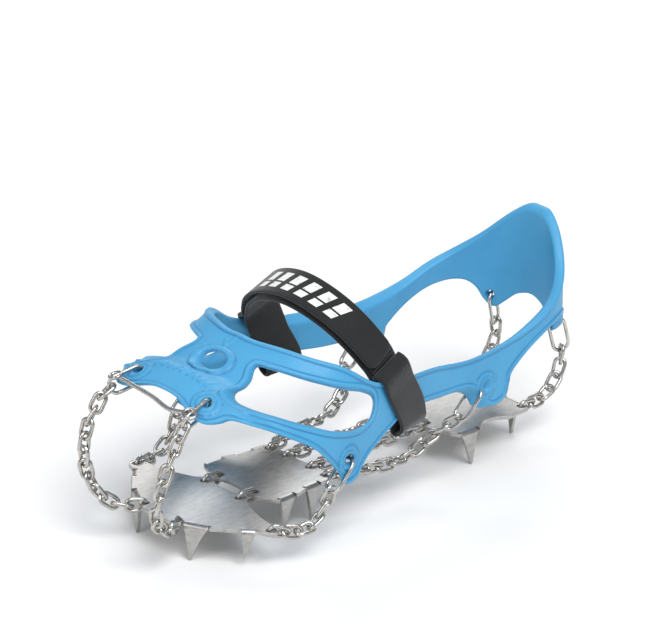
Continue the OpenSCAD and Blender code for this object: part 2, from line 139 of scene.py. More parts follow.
# ---------------------------------------------------------------- mesh helpers
def make_piece(name, verts, faces, material, body, replaces=(), uv=None):
    """A mesh object in metres from millimetre points, riding on a body of the frame."""
    mesh = bpy.data.meshes.new(name)
    mesh.from_pydata([tuple(v) for v in np.asarray(verts, float) * MM], [],
                     [tuple(int(i) for i in f) for f in faces])
    if uv is not None:
        layer = mesh.uv_layers.new(name="UVMap")
        loops = np.empty(len(mesh.loops), np.int32)
        mesh.loops.foreach_get("vertex_index", loops)
        layer.data.foreach_set("uv", np.asarray(uv, np.float32)[loops].ravel())
    bm = bmesh.new()
    bm.from_mesh(mesh)
    bmesh.ops.recalc_face_normals(bm, faces=bm.faces)
    bm.to_mesh(mesh)
    bm.free()
    mesh.polygons.foreach_set("use_smooth", [True] * len(mesh.polygons))
    mesh.materials.append(material)
    piece = bpy.data.objects.new(name, mesh)
    bpy.context.scene.collection.objects.link(piece)
    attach(piece, body)
    if replaces:
        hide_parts(*replaces)
    return piece


class Shape:
    """Collects several tubes and other bits into one mesh."""

    def __init__(self):
        self.verts, self.faces, self.uv = [], [], []

    def add(self, verts, faces, uv=None):
        start = sum(len(v) for v in self.verts)
        self.verts.append(np.asarray(verts, float))
        self.faces += [[start + i for i in f] for f in faces]
        self.uv.append(np.zeros((len(verts), 2)) if uv is None else np.asarray(uv, float))

    def sweep(self, rings, closed, capped=True, uv=None):
        """Skins a list of equal rings of points; closed joins the last ring to the first."""
        rings = np.asarray(rings, float)
        n, m = rings.shape[:2]
        faces = []
        for i in range(n if closed else n - 1):
            j = (i + 1) % n
            for k in range(m):
                l = (k + 1) % m
                faces.append([i * m + k, i * m + l, j * m + l, j * m + k])
        if not closed and capped:
            faces += [list(range(m))[::-1], [(n - 1) * m + k for k in range(m)]]
        self.add(rings.reshape(-1, 3), faces, uv)

    def tube(self, line, radius, sides=14, closed=False, tip=0.0):
        """A round wire along a line; tip rounds its two free ends."""
        line = np.asarray(line, float)
        n = len(line)
        ahead = (unit(np.roll(line, -1, 0) - np.roll(line, 1, 0)) if closed
                 else unit(np.gradient(line, axis=0)))
        a = unit(np.cross(ahead[0], vec(0.31, 0.17, 0.94)))
        rings = []
        s = run_lengths(line)
        for i in range(n):
            a = unit(a - ahead[i] * (a @ ahead[i]))
            b = np.cross(ahead[i], a)
            r = radius
            if tip and not closed:
                edge = min(s[i], s[-1] - s[i])
                r = radius * math.sqrt(max(0.02, 1 - max(0, 1 - edge / tip) ** 2))
            turn = np.linspace(0, 2 * math.pi, sides, endpoint=False)
            rings.append(line[i] + r * (np.cos(turn)[:, None] * a + np.sin(turn)[:, None] * b))
        self.sweep(rings, closed)

    def piece(self, name, material, body, slot, replaces=(), uv=False):
        return make_piece(name, np.vstack(self.verts), self.faces, material, body, replaces,
                          np.vstack(self.uv) if uv else None)


# ---------------------------------------------------------------- materials
class Nodes:
    """Short names for building a procedural node material."""

    def __init__(self, name):
        self.material = bpy.data.materials.new(name)
        self.material.use_nodes = True
        self.tree = self.material.node_tree
        self.shader = self.tree.nodes["Principled BSDF"]

    def put(self, socket, value):
        if isinstance(value, bpy.types.NodeSocket):
            self.tree.links.new(value, socket)
        else:
            socket.default_value = value

    def node(self, kind, out=0, **inputs):
        n = self.tree.nodes.new(kind)
        for key, value in inputs.items():
            if key.startswith("set_"):
                setattr(n, key[4:], value)
            else:
                self.put(n.inputs[key.replace("_", " ")], value)
        return n.outputs[out]

    def place(self, kind="Object"):
        return self.tree.nodes.new("ShaderNodeTexCoord").outputs[kind]

    def scaled(self, vector, x, y, z):
        return self.node("ShaderNodeMapping", Vector=vector, Scale=(x, y, z))

    def noise(self, vector, scale, detail=3.0, rough=0.55):
        return self.node("ShaderNodeTexNoise", Vector=vector, Scale=scale, Detail=detail, Roughness=rough)

    def ramp(self, fac, low, high, a, b):
        return self.node("ShaderNodeMapRange", Value=fac, From_Min=low, From_Max=high, To_Min=a, To_Max=b)

    def mix(self, fac, a, b):
        n = self.tree.nodes.new("ShaderNodeMix")
        n.data_type = "RGBA"
        self.put(n.inputs["Factor"], fac)
        self.put(n.inputs[6], a)
        self.put(n.inputs[7], b)
        return n.outputs[2]

    def math(self, how, a, b=0.0, c=0.0):
        n = self.tree.nodes.new("ShaderNodeMath")
        n.operation = how
        for socket, value in zip(n.inputs, (a, b, c)):
            self.put(socket, value)
        return n.outputs[0]

    def bump(self, height, strength, distance, normal=None):
        n = self.tree.nodes.new("ShaderNodeBump")
        self.put(n.inputs["Height"], height)
        n.inputs["Strength"].default_value = strength
        n.inputs["Distance"].default_value = distance
        if normal is not None:
            self.put(n.inputs["Normal"], normal)
        return n.outputs["Normal"]

    def finish(self, **values):
        for key, value in values.items():
            self.put(self.shader.inputs[key.replace("_", " ")], value)
        return self.material


def elastomer_material():
    m = Nodes("azure elastomer")
    at = m.place()
    cloud = m.noise(at, 38.0, 3.0)
    grain = m.noise(at, 2600.0, 2.0)
    colour = m.mix(m.ramp(cloud, 0.3, 0.7, 0.0, 1.0), (0.060, 0.322, 0.585, 1), (0.074, 0.362, 0.640, 1))
    scuff = m.noise(m.scaled(at, 1.0, 3.0, 3.0), 260.0, 4.0, 0.7)
    colour = m.mix(m.ramp(scuff, 0.62, 0.82, 0.0, 0.22), colour, (0.14, 0.44, 0.70, 1))
    # painted shade: this point attribute darkens the colour in the grooves at the foot of raised rims, pads,
    # lips, marks and heel bars, where shade falls
    painted_crease_shade = m.tree.nodes.new("ShaderNodeAttribute")
    painted_crease_shade.attribute_name = "painted_crease_shade"
    colour = m.mix(m.math("MULTIPLY", painted_crease_shade.outputs["Fac"], 0.55), colour, (0.010, 0.130, 0.330, 1))
    height = m.math("ADD", m.math("MULTIPLY", grain, 0.7), m.math("MULTIPLY", scuff, 0.6))
    return m.finish(Base_Color=colour, Roughness=m.ramp(scuff, 0.3, 0.8, 0.38, 0.56), Subsurface_Weight=0.06,
                    Subsurface_Radius=(0.6, 0.9, 1.0), Subsurface_Scale=0.002, Specular_IOR_Level=0.40,
                    Normal=m.bump(height, 0.10, 0.0003))


def neoprene_material(name, printed=False):
    """Matt knitted face of the strap; u runs along it and v across it, both in millimetres."""
    m = Nodes(name)
    uv = m.place("UV")
    at = m.place()
    part = m.tree.nodes.new("ShaderNodeSeparateXYZ")
    m.put(part.inputs[0], uv)
    u, v = part.outputs[0], part.outputs[1]
    knit_a = m.math("SINE", m.math("MULTIPLY", m.math("ADD", u, v), 7.4))
    knit_b = m.math("SINE", m.math("MULTIPLY", m.math("SUBTRACT", u, v), 7.4))
    knit = m.math("MULTIPLY", knit_a, knit_b)
    fuzz = m.noise(at, 900.0, 4.0, 0.7)
    cloud = m.noise(at, 55.0, 2.0)
    dark, light = (0.0085, 0.0092, 0.0098, 1), (0.022, 0.0235, 0.0245, 1)
    tone = m.math("ADD", m.math("MULTIPLY", fuzz, 0.7), m.math("MULTIPLY", cloud, 0.5))
    colour = m.mix(m.ramp(tone, 0.35, 0.85, 0.0, 1.0), dark, light)
    rough = m.ramp(fuzz, 0.2, 0.8, 0.72, 0.95)
    if printed:
        ink = printed_mark(m, u, v)
        worn = m.math("MULTIPLY", ink, m.ramp(m.noise(at, 420.0, 3.0), 0.30, 0.42, 0.55, 1.0))
        colour = m.mix(worn, colour, (0.80, 0.80, 0.79, 1))
        rough = m.math("SUBTRACT", rough, m.math("MULTIPLY", ink, 0.3))
    height = m.math("ADD", m.math("MULTIPLY", knit, 0.35), fuzz)
    return m.finish(Base_Color=colour, Roughness=rough, Sheen_Weight=0.35, Sheen_Roughness=0.45,
                    Specular_IOR_Level=0.25, Normal=m.bump(height, 0.35, 0.0002))


def printed_mark(m, u, v):
    """A row of plain slanted bars printed on the flap."""
    phase = m.math("SUBTRACT", m.math("ADD", u, m.math("MULTIPLY", v, 0.42)), 73.0)
    pitch = 9.8
    cell = m.math("MODULO", phase, pitch)
    bar = m.math("LESS_THAN", m.math("ABSOLUTE", m.math("SUBTRACT", cell, pitch / 2)), 2.9)
    inside = m.math("MULTIPLY", m.math("GREATER_THAN", phase, 0.0), m.math("LESS_THAN", phase, pitch * 6))
    tall = m.math("LESS_THAN", m.math("ABSOLUTE", v), 5.6)
    slit = m.math("GREATER_THAN", m.math("ABSOLUTE", m.math("SUBTRACT", v, 1.2)), 0.55)
    return m.math("MULTIPLY", m.math("MULTIPLY", bar, inside), m.math("MULTIPLY", tall, slit))


def hook_material():
    m = Nodes("moulded hook tape")
    part = m.tree.nodes.new("ShaderNodeSeparateXYZ")
    m.put(part.inputs[0], m.place("UV"))
    rows = m.math("SINE", m.math("MULTIPLY", part.outputs[0], 3.6))
    pins = m.math("SINE", m.math("MULTIPLY", part.outputs[1], 5.2))
    hooks = m.math("MULTIPLY", rows, pins)
    # painted shade: the colour follows the hook rows, darker in the troughs between them and lighter on their
    # crests
    colour = m.mix(m.ramp(rows, -1.0, 1.0, 0.0, 1.0), (0.006, 0.006, 0.007, 1), (0.035, 0.035, 0.036, 1))
    return m.finish(Base_Color=colour, Roughness=m.ramp(hooks, -1.0, 1.0, 0.45, 0.8),
                    Normal=m.bump(m.math("ADD", rows, m.math("MULTIPLY", hooks, 0.6)), 0.8, 0.0005))


def thread_material():
    m = Nodes("bonded thread")
    fibre = m.noise(m.scaled(m.place(), 1.0, 1.0, 4.0), 2400.0, 2.0)
    tone = m.mix(fibre, (0.030, 0.031, 0.033, 1), (0.085, 0.086, 0.088, 1))
    return m.finish(Base_Color=tone, Roughness=0.55,
                    Normal=m.bump(fibre, 0.5, 0.0002))


def steel_material(name, dark, light, rough_low, rough_high, brushed=(1, 1, 1), scale=160.0, bump=0.08):
    m = Nodes(name)
    at = m.scaled(m.place(), *brushed)
    wear = m.noise(at, scale, 5.0, 0.65)
    fine = m.noise(at, scale * 9, 2.0)
    colour = m.mix(m.ramp(wear, 0.3, 0.7, 0.0, 1.0), dark, light)
    rough = m.ramp(m.math("ADD", m.math("MULTIPLY", wear, 0.6), m.math("MULTIPLY", fine, 0.4)),
                   0.3, 0.7, rough_low, rough_high)
    return m.finish(Base_Color=colour, Metallic=1.0, Roughness=rough,
                    Normal=m.bump(m.math("ADD", wear, m.math("MULTIPLY", fine, 0.5)), bump, 0.0003))


ELASTOMER = elastomer_material()
STRAP = neoprene_material("neoprene strap")
FLAP = neoprene_material("printed neoprene flap", printed=True)
HOOK = hook_material()
THREAD = thread_material()
CHAIN = steel_material("nickelled chain steel", (0.40, 0.385, 0.36, 1), (0.63, 0.61, 0.57, 1), 0.12, 0.30)
RING = steel_material("nickelled ring steel", (0.44, 0.425, 0.40, 1), (0.66, 0.64, 0.60, 1), 0.10, 0.26)
BAIL = steel_material("bail wire", (0.36, 0.35, 0.34, 1), (0.58, 0.57, 0.55, 1), 0.20, 0.38)
PLATE = steel_material("satin stainless plate", (0.36, 0.35, 0.335, 1), (0.54, 0.53, 0.51, 1), 0.26, 0.44,
                       brushed=(0.35, 1.0, 1.0), scale=420.0, bump=0.12)

# ---------------------------------------------------------------- lugs of the harness
GAP, THICK = 3.0, 4.6
MID_WALL = GAP + THICK / 2
FINGER_HOLE = (78, 0, 75)
RING_IN, RING_W, RING_WIRE, HOOK_OVER = 17.6, 7.0, 2.4, 1.35
# Each lug: a point beside its hole, the way its ring pulls and its outward direction, on the left.
LUGS = {
    ("front", 1): ((97, 24, 64), (0.94, 0.05, -0.34), (0.38, 0.26, 0.89)),
    ("front", -1): ((97, 24, 64), (0.93, 0.28, -0.29), (0.28, 0.23, 0.93)),
    "mid": ((32.5, 55, 27.5), (0.68, 0.05, -0.73), (0, 1, 0.06)),
    "rear": ((-70, 42, 31), (0.66, -0.04, -0.75), (0, 1, 0.04)),
    "heel": ((-152, 24, 43), (-0.3, 0.05, -0.95), (-0.88, 0.38, 0.28)),
}


def lug(name, side):
    """Hole, pull and outward direction of one lug, on its own side."""
    hole, pull, out = LUGS.get((name, side)) or LUGS[name]
    return mirror(on_boot(hole, MID_WALL)[0], side), mirror(unit(pull), side), mirror(unit(out), side)


def ring_start(name, side):
    hole, pull, _ = lug(name, side)
    return hole - pull * 0.4


def ring_end(name, side):
    return ring_start(name, side) + lug(name, side)[1] * (RING_IN + RING_WIRE - HOOK_OVER)


# ---------------------------------------------------------------- harness
# The edges are drawn on the left and mirrored; each starts and ends on the middle plane.
UPPER_EDGE = [(57, 0, 83), (57, 10, 83), (51, 24, 81), (40, 36, 75), (25, 42, 66), (11, 43.6, 55.5),
              (0, 43.4, 51.6), (-12, 42, 50), (-33, 38, 47), (-60, 38, 45), (-90, 39, 50), (-110, 38, 57),
              (-125, 34, 64), (-137, 27, 73), (-145, 16, 85), (-150.5, 7, 93), (-152, 0, 94)]
LOWER_EDGE = [(103, 0, 64), (103.6, 10, 63.4), (105.6, 18, 61.2), (106.6, 24, 59), (104.2, 30.6, 57.4),
              (99, 34.4, 57.6), (92, 37, 58), (82, 46, 54), (68, 52, 47), (54, 54, 39), (45, 55, 30),
              (39.6, 56, 22), (38, 56, 17.6), (33, 56, 14.6), (26.4, 55.5, 16.4), (21.6, 53.5, 20.4),
              (14, 50, 24.4), (0, 45, 29), (-16, 41, 33), (-39, 39, 32), (-54, 38, 30.6), (-61, 38, 26.4),
              (-65.4, 38, 20.4), (-72, 38, 17.6), (-78.6, 38, 20.6), (-82, 39, 27), (-86, 40, 33),
              (-99, 39, 42), (-115, 37, 47), (-131, 32, 48.4), (-139.4, 28.4, 45), (-144, 25, 38),
              (-147.4, 20.4, 35), (-149.8, 15.4, 39), (-151.4, 10, 44), (-152, 4, 46.4), (-152, 0, 47)]
WINDOW = [(67, 21, 75), (62, 28, 74), (49, 40, 68), (31, 46, 59.4), (16, 45, 52.4), (9, 44, 46.4),
          (13, 47, 39.6), (24, 50, 38.6), (38, 51, 42), (54, 51, 49), (72, 45, 57), (83, 36, 61.6),
          (87, 28.6, 64.6), (84.6, 24.6, 66.6), (79, 25.6, 68.4), (74, 24.6, 71)]


def both_sides(edge):
    return [mirror(p, -1) for p in edge[:0:-1]] + [vec(*p) for p in edge[:-1]]


def to_chart(p):
    """Directions from inside the boot, laid out flat: angle from straight up as the radius."""
    d = unit(np.asarray(p, float) - EYE)
    r = np.arccos(np.clip(d[:, 2], -1, 1)) * 60
    turn = np.arctan2(d[:, 1], d[:, 0])
    return np.stack([r * np.cos(turn), r * np.sin(turn)], -1)


def from_chart(q, grow):
    r = np.linalg.norm(q, axis=1) / 60
    turn = np.arctan2(q[:, 1], q[:, 0])
    d = np.stack([np.sin(r) * np.cos(turn), np.sin(r) * np.sin(turn), np.cos(r)], -1)
    return on_boot(EYE + d * 50, grow)


def circle_on_boot(centre, out, radius_a, radius_b, along):
    """An oval hole through the wall, its long way across the given direction."""
    across = unit(np.cross(out, along))
    ahead = np.cross(across, out)
    turn = np.linspace(0, 2 * math.pi, 28, endpoint=False)[:, None]
    return centre + radius_a * np.cos(turn) * ahead + radius_b * np.sin(turn) * across


def within(q, loops):
    """Which chart points lie inside an odd number of the loops."""
    odd = np.zeros(len(q), bool)
    for loop in loops:
        a, b = loop, np.roll(loop, -1, 0)
        for i in range(0, len(q), 4000):
            x, y = q[i:i + 4000, :1], q[i:i + 4000, 1:]
            crosses = (a[:, 1] > y) != (b[:, 1] > y)
            with np.errstate(divide="ignore", invalid="ignore"):
                where = a[:, 0] + (y - a[:, 1]) * (b[:, 0] - a[:, 0]) / (b[:, 1] - a[:, 1])
            odd[i:i + 4000] ^= (np.sum(crosses & (x < where), axis=1) % 2).astype(bool)
    return odd


def harness_loops():
    loops = [both_sides(LOWER_EDGE), both_sides(UPPER_EDGE)]
    for side in (1, -1):
        loops.append([mirror(p, side) for p in WINDOW])
    made = [even_loop(loop, 1.1) for loop in loops]
    made.append(even_loop(circle_on_boot(on_boot(FINGER_HOLE, MID_WALL)[0], vec(0.3, 0, 0.95), 6.4, 8.6,
                                         vec(0.95, 0, -0.3)), 0.9))
    for name in ("front", "mid", "rear", "heel"):
        for side in (1, -1):
            hole, pull, out = lug(name, side)
            made.append(even_loop(circle_on_boot(hole, out, 2.6, 2.3, pull), 0.7))
    return [on_boot(loop, MID_WALL) for loop in made]


def rounded(d, r):
    """How far a surface falls where a rounded edge of radius r begins, at distance d from the edge."""
    return r - np.sqrt(np.maximum(0, r * r - (r - np.minimum(d, r)) ** 2))


def near(value, centre, half, soft=0.5):
    """1 within half of the centre, falling softly to 0."""
    return 1 - smoothstep((np.abs(value - centre) - half) / soft)


def harness_relief(p, d):
    """Raised details of the outer face: millimetres above it, and how much painted shade darkens each place
    at the foot of raised parts.
    """
    rise = 0.75 * (1 - smoothstep((d - 2.3) / 0.7))
    # painted shade: the mask darkens the groove about 3 mm inside each edge, and the edges of pads, lip,
    # marks and heel bars
    painted_crease_shade = near(d, 3.0, 0.15, 0.5)
    for name in ("front", "mid", "rear", "heel"):
        for side in (1, -1):
            rho = np.linalg.norm(
                p - mirror(on_boot(LUGS.get((name, side), LUGS.get(name))[0], 7.6)[0], side), axis=1)
            pad = 1 - smoothstep((rho - 7.4) / 0.8)
            rise = rise * (1 - pad) + 0.75 * pad
            painted_crease_shade = painted_crease_shade * (1 - pad)
            rise = rise + 0.5 * (1 - smoothstep((rho - 4.6) / 0.6))
            painted_crease_shade = np.maximum(painted_crease_shade, np.maximum(near(rho, 5.2, 0.1, 0.4),
                                                   near(rho, 8.1, 0.1, 0.5) * (d > 1.2)))
    away = p - on_boot(FINGER_HOLE, 7.6)[0]
    lip = np.sqrt(away[:, 0] ** 2 + away[:, 2] ** 2 + (away[:, 1] / 1.4) ** 2)
    ring = (lip < 14) * (1 - smoothstep((lip - 9.2) / 0.8))
    rise = rise * (1 - ring) + 1.2 * ring
    painted_crease_shade = np.maximum(painted_crease_shade * (1 - ring), near(lip, 10.0, 0.15, 0.5))
    # plain raised ribs and an arrow stand in for the moulded lettering
    bridge = (p[:, 2] > 50) & (p[:, 0] > 55)
    marks = np.zeros(len(p))
    for k in range(-4, 5):
        marks = np.maximum(marks, near(p[:, 1] + 0.30 * (p[:, 0] - 92), 4.4 * k, 0.7, 0.5)
                           * near(p[:, 0], 93, 3.0, 0.6))
    point = near(np.abs(p[:, 1]) + 0.9 * (p[:, 0] - 67.5), 0.6, 0.6, 0.5) * near(p[:, 0], 65, 2.6, 0.5)
    stem = near(p[:, 1], 0, 0.5, 0.4) * near(p[:, 0], 63.4, 4.2, 0.5)
    marks = np.maximum(marks, np.maximum(point * (np.abs(p[:, 1]) < 5), stem)) * bridge
    rise = rise + 0.55 * marks
    painted_crease_shade = np.maximum(painted_crease_shade, 0.8 * marks * (1 - marks) * 4)
    heel = (p[:, 0] < -138)
    for z in (60, 67, 74, 81, 88):
        bar = near(p[:, 2], z, 1.0, 1.0) * near(p[:, 1], 0, 9, 1.5) * heel
        rise = rise + 1.0 * bar
        painted_crease_shade = np.maximum(painted_crease_shade, 0.6 * bar * (1 - bar) * 4)
    return rise, painted_crease_shade


EDGE_ROWS = (0.3, 0.8, 1.5, 2.2, 2.6, 3.0, 3.5, 4.2)  # distances from an edge, mm
LATTICE, CROWDED = 0.5, 0.32


def harness():
    """The harness: points filled between its edges, then an outer and an inner face with rounded rims."""
    loops = harness_loops()
    edge = np.vstack(loops)
    charts = [to_chart(loop) for loop in loops]
    tree = KDTree(len(edge) * 4)
    for loop in loops:
        fine = np.vstack([loop, loop[:1]])
        for k, p in enumerate(even_places(fine, len(loop) * 4)[:-1]):
            tree.insert(p, k)
    tree.balance()

    def from_edge(points):
        return np.array([tree.find(p)[2] for p in points])

    # points parallel to the edges, where the rounding and the raised border need them
    extra = []
    for k, loop in enumerate(loops):
        ahead = unit(np.roll(loop, -1, 0) - np.roll(loop, 1, 0))
        chart = charts[k]
        turn = np.sum(chart[:, 0] * np.roll(chart[:, 1], -1) - chart[:, 1] * np.roll(chart[:, 0], -1))
        inward = unit(np.cross(unit(loop - EYE), ahead)) * (1 if (turn > 0) == (k == 0) else -1)
        for off in EDGE_ROWS:
            extra.append((on_boot(loop + inward * off, MID_WALL), off))
    ring_points = np.vstack([points[from_edge(points) > off * 0.9] for points, off in extra])
    # a lattice over the rest
    lo, hi = charts[0].min(0), charts[0].max(0)
    rows = []
    for j, y in enumerate(np.arange(lo[1], hi[1], LATTICE * 0.866)):
        x = np.arange(lo[0] + (j % 2) * LATTICE / 2, hi[0], LATTICE)
        rows.append(np.stack([x, np.full_like(x, y)], -1))
    lattice = np.vstack(rows)
    lattice = lattice[within(lattice, [chart[::4] for chart in charts])]
    lattice_at = from_chart(lattice, MID_WALL)
    clear = from_edge(lattice_at) > EDGE_ROWS[-1] + 0.5
    inner = np.vstack([to_chart(ring_points), lattice[clear]])
    # leave out points that crowd others
    crowd = KDTree(len(inner))
    at3 = np.vstack([ring_points, lattice_at[clear]])
    for i, p in enumerate(at3):
        crowd.insert(p, i)
    crowd.balance()
    keep = np.ones(len(inner), bool)
    for i, p in enumerate(at3):
        if keep[i]:
            for _, j, _ in crowd.find_range(p, CROWDED):
                if j > i:
                    keep[j] = False
    inner = inner[keep]
    points = np.vstack(charts + [inner])
    borders, start = [], 0
    for chart in charts:
        n = len(chart)
        borders += [(start + i, start + (i + 1) % n) for i in range(n)]
        start += n
    on_edge = start
    out = delaunay_2d_cdt([Vector(p) for p in points], borders, [], 0, 1e-7)
    flat = np.array([tuple(v) for v in out[0]])
    source = [o[0] if o else -1 for o in out[3]]
    edge_flag = np.array([s < on_edge for s in source])
    faces = np.array([f for f in out[2] if len(f) == 3])
    doubtful = edge_flag[faces].all(1)
    centre = flat[faces].mean(1)
    inside = np.ones(len(faces), bool)
    inside[doubtful] = within(centre[doubtful], charts)
    faces = faces[inside]

    mid = from_chart(flat, MID_WALL)
    d = from_edge(mid)
    d[edge_flag] = 0
    top = GAP + THICK - rounded(d, 1.5)
    bottom = GAP + rounded(d, 1.1)
    outer = from_chart(flat, top)
    relief, painted_crease_shade = harness_relief(from_chart(flat, GAP + THICK), d)
    outer = from_chart(flat, top + relief * smoothstep(d / 0.9))
    around = np.linalg.norm(mid - on_boot(FINGER_HOLE, MID_WALL)[0], axis=1)
    inner_face = from_chart(flat, bottom + 1.6 * (1 - smoothstep((around - 7) / 6)))
    n = len(flat)
    all_faces = [list(f) for f in faces] + [[i + n for i in f[::-1]] for f in faces]
    count = {}
    for f in faces:
        for a, b in ((f[0], f[1]), (f[1], f[2]), (f[2], f[0])):
            count[(a, b)] = count.get((a, b), 0) + 1
    for (a, b) in count:
        if (b, a) not in count:
            all_faces.append([b, a, a + n, b + n])
    piece = make_piece("harness_shell", np.vstack([outer, inner_face]), all_faces, ELASTOMER,
                       "harness", ["harness"])
    # the painted shade at the foot of raised parts is stored as a point attribute for the elastomer colour
    shade = piece.data.attributes.new("painted_crease_shade", "FLOAT", "POINT")
    shade.data.foreach_set("value", np.concatenate([painted_crease_shade, np.zeros(n)]).astype(np.float32))
    return piece


# ---------------------------------------------------------------- rings, chains and bail
def oval_line(inner_length, inner_width, gauge, steps=12):
    """The middle line of a wire bent into a closed oval, long axis on X."""
    bend, straight = (inner_width + gauge) / 2, (inner_length - inner_width) / 2
    turn = np.linspace(-math.pi / 2, math.pi / 2, steps + 1)
    right = np.stack([straight + bend * np.cos(turn), bend * np.sin(turn)], -1)
    line = np.vstack([right, -right])
    gaps = [line[0]]
    for p in list(line[1:]) + [line[0]]:
        gap = np.linalg.norm(p - gaps[-1])
        for k in range(1, max(1, int(gap / 1.2)) + 1):
            gaps.append(gaps[-1] + (p - gaps[-1]) / (max(1, int(gap / 1.2)) - k + 1))
    return np.array(gaps[:-1])


def add_ring(shape, origin, along, normal, inner_length, inner_width, gauge, sides=14):
    """A closed oval wire with its long axis along a direction and its plane square to the normal."""
    x = unit(along)
    z = unit(normal - x * (normal @ x))
    y = np.cross(z, x)
    line = oval_line(inner_length, inner_width, gauge)
    shape.tube(origin + line[:, :1] * x + line[:, 1:] * y, gauge / 2, sides, closed=True)


def add_link(shape, a, b, up, start_turn, twist, inner_length=8.5, inner_width=3.8, wire=2.1):
    """A chain link between two meeting points, twisted about its length."""
    x = unit(b - a)
    u = unit(up - x * (up @ x))
    w = np.cross(x, u)
    half = inner_length / 2 + wire / 2
    line = []
    for px, py in oval_line(inner_length, inner_width, wire, 10):
        turn = math.radians(start_turn + twist * (px + half) / (2 * half))
        normal = math.cos(turn) * u + math.sin(turn) * w
        side = np.cross(normal, x)
        line.append((a + b) / 2 + x * px + side * py)
    shape.tube(line, wire / 2, 12, closed=True)


ROUTES = {
    ("front", 1): (11, [(119.9, 25.3, 54.2), (125.2, 25.6, 44), (129.8, 26, 35), (132.8, 26, 26),
                        (134.4, 25.5, 17.5), (132.6, 24.2, 9), (126.5, 22, 3.6), (120, 19.4, 0.4),
                        (114.4, 16.4, -0.8), (108.6, 13.2, -1)]),
    ("front", -1): (12, [(120.8, 30.6, 58), (125.2, 31, 51), (129.8, 31.6, 44), (132.2, 31.8, 34),
                         (132.6, 31, 24), (131, 29.5, 15), (127.5, 26.5, 6.5), (121, 21.5, 0.4),
                         (114.8, 16.8, -1), (108.6, 13.2, -1)]),
    "mid": (6, [(49.6, 57, 7.6), (55, 57.2, 0.6), (62, 56.4, -3.4), (70.5, 54.2, -2.8),
                (79.3, 50.7, -0.6)]),
    "rear": (11, [(-52, 35.5, 10), (-43, 32.3, 3.8), (-34, 31.5, -0.6), (-20, 30.6, -1.4), (0, 26, -1.3),
                  (14.6, 21.2, -1)]),
    "heel": (6, [(-156, 24.2, 18), (-153.8, 24.2, 10), (-148.6, 24.3, 3.4), (-141.6, 24.6, -0.4),
                 (-134, 25.1, -1.1), (-125.7, 25.6, -1)]),
}


# Half turns that each chain takes in all; its links share them.
TURNS = {"front": 1, "mid": 1, "rear": 2, "heel": 1}


def chain(name, side):
    """One hanging chain; its links share out a whole number of half turns, so that both ends sit square."""
    count, route = ROUTES.get((name, side)) or ROUTES[name]
    line = spline([mirror(p, side) for p in [mirror(ring_end(name, side), side)] + list(route)], 8)
    nodes = even_places(line, count)
    twist = 180.0 * TURNS[name] / count
    first = lug(name, side)[2]
    level = unit(np.cross(vec(0, 0, 1), nodes[-1] - nodes[-2]))
    last = vec(0, 0, 1) if count % 2 == 0 else level * side
    shape = Shape()
    for i in range(count):
        up = first + (last - first) * i / (count - 1)
        add_link(shape, nodes[i], nodes[i + 1], up, 90.0 * ((i + 1) % 2 == 0) + i * twist, twist)
    return shape


def side_word(side):
    return "left" if side > 0 else "right"


def rings_and_chains():
    for side in (1, -1):
        word = side_word(side)
        for name in ("front", "mid", "rear", "heel"):
            _, pull, out = lug(name, side)
            shape = Shape()
            add_ring(shape, ring_start(name, side) + pull * (RING_IN + RING_WIRE) / 2, pull,
                     np.cross(pull, out), RING_IN + 0.3, RING_W, 2.0)
            body = f"mid_{word}" if name == "mid" else f"{name}_{word}_ring"
            shape.piece(f"{name}_{word}_long_ring", RING, body, "chain_steel", [f"{name}_{word}_ring"])
            body = f"mid_{word}" if name == "mid" else f"{name}_{word}_chain"
            chain(name, side).piece(f"{name}_{word}_links", CHAIN, body, "chain_steel",
                                    [f"{name}_{word}_chain"])
        shape = Shape()
        twist = 180.0 * 2 / 11
        for i in range(11):
            a = vec(14 - 7.6 * i, side * 9, -1)
            add_link(shape, a, a - vec(7.6, 0, 0), vec(0, 0, 1), 90.0 * (i % 2 == 0) + i * twist, twist)
        shape.piece(f"arch_{word}_links", CHAIN, f"arch_{word}", "chain_steel", [f"arch_{word}_chain"])
        shape = Shape()
        add_ring(shape, vec(62, side * 13, -1), vec(1, 0, 0), vec(0, 1, 0), 68 - 56 - 2.1, 4.4, 2.1)
        shape.piece(f"{word}_oval_link", CHAIN, "toe_plate", "chain_steel", [f"{word}_plate_link"])


def toe_bail():
    stem = 2.1 + 1.0
    reach = RING_IN + RING_WIRE - 5.2
    eyes = {}
    shape = Shape()
    for side in (1, -1):
        _, pull, out = lug("front", side)
        normal = unit(out - pull * (out @ pull))
        eyes[side] = ring_start("front", side) + pull * reach + normal * 4.7
        a = unit(np.cross(normal, pull))
        turn = np.linspace(0, 2 * math.pi, 36, endpoint=False)[:, None]
        shape.tube(eyes[side] + stem * (np.cos(turn) * pull + np.sin(turn) * a * 1.0), 1.0, 12, closed=True)
    near_eye, far_eye = eyes[1], eyes[-1]
    line = spline([near_eye + vec(-0.1, -0.99, -0.1) * stem, near_eye + vec(-0.9, -6.5, -1.6), (113.4, 9, 61),
                   (112.2, -4, 62.6), (112, -16, 63.4), far_eye + vec(-1, 6.5, -1),
                   far_eye + vec(-0.1, 0.99, -0.1) * stem], 10)
    shape.tube(line, 1.15, 16)
    shape.piece("bail_wire_loop", BAIL, "toe_bail", "bail_wire", ["toe_bail"])


# ---------------------------------------------------------------- plates
PLATE_T, PLATE_RIM, BEND_IN = 2.0, 0.28, 0.6
BEND_MID = BEND_IN + PLATE_T / 2
BEND_START = BEND_IN + PLATE_T
ARC = BEND_MID * math.pi / 2


